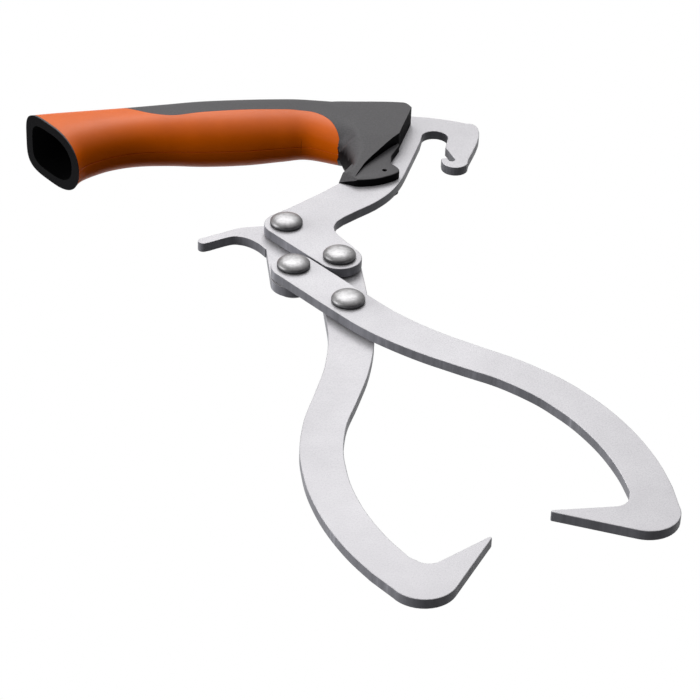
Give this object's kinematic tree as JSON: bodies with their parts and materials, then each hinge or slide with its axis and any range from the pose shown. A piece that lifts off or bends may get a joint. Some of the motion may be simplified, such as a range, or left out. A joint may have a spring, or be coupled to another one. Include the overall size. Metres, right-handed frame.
{
  "type": "log tongs",
  "caption": "Hand log tongs: two pointed steel jaws on a four-bar plate linkage with domed rivets, finger lever, hook plate and a soft-gripped hollow handle.",
  "frame": {"origin": "centre of the bounding box, on the plane the handle's side lies on", "axes": "+Z square to the steel plates, +X along the handle from the butt to the hook, +Y from the jaws to the handle"},
  "size_m": [0.2359, 0.3771, 0.0312],
  "materials": {
    "plate_steel": "fine-grained, satin",
    "rivet": "satin polished",
    "washer": "plain",
    "core": "fine matte grain",
    "soft_grip": "smooth, soft satin"
  },
  "bodies": {
    "handle": {"frame_plate": "plate_steel", "handle_core": "core", "grip": "soft_grip", "rivet_top": "rivet", "rivet_right": "rivet", "washer_top": "washer", "washer_right": "washer"},
    "lever": {"lever": "plate_steel", "rivet_left": "rivet", "washer_left": "washer"},
    "lower_jaw": {"lower_jaw": "plate_steel", "rivet_cross": "rivet", "washer_cross": "washer"},
    "upper_jaw": {"upper_jaw": "plate_steel"}
  },
  "joints": [
    {"name": "jaw_opening", "type": "hinge", "parent": "handle", "child": "lower_jaw", "pos_m": [0.01512, 0.04953, 0.0156], "axis": [0, 0, -1], "range_deg": [0, 75]},
    {"name": "lever_swing", "type": "hinge", "parent": "handle", "child": "lever", "pos_m": [-0.00426, 0.08104, 0.0156], "axis": [0, 0, -1], "range_deg": [0, 75]},
    {"name": "jaw_cross", "type": "hinge", "parent": "lower_jaw", "child": "upper_jaw", "pos_m": [0.0128, 0.0126, 0.0156], "axis": [0, 0, -1], "range_deg": [-75, 0]}
  ],
  "couplings": [
    {"joint": "lever_swing", "follows": "jaw_opening", "ratio": 1},
    {"joint": "jaw_cross", "follows": "jaw_opening", "ratio": -1}
  ]
}
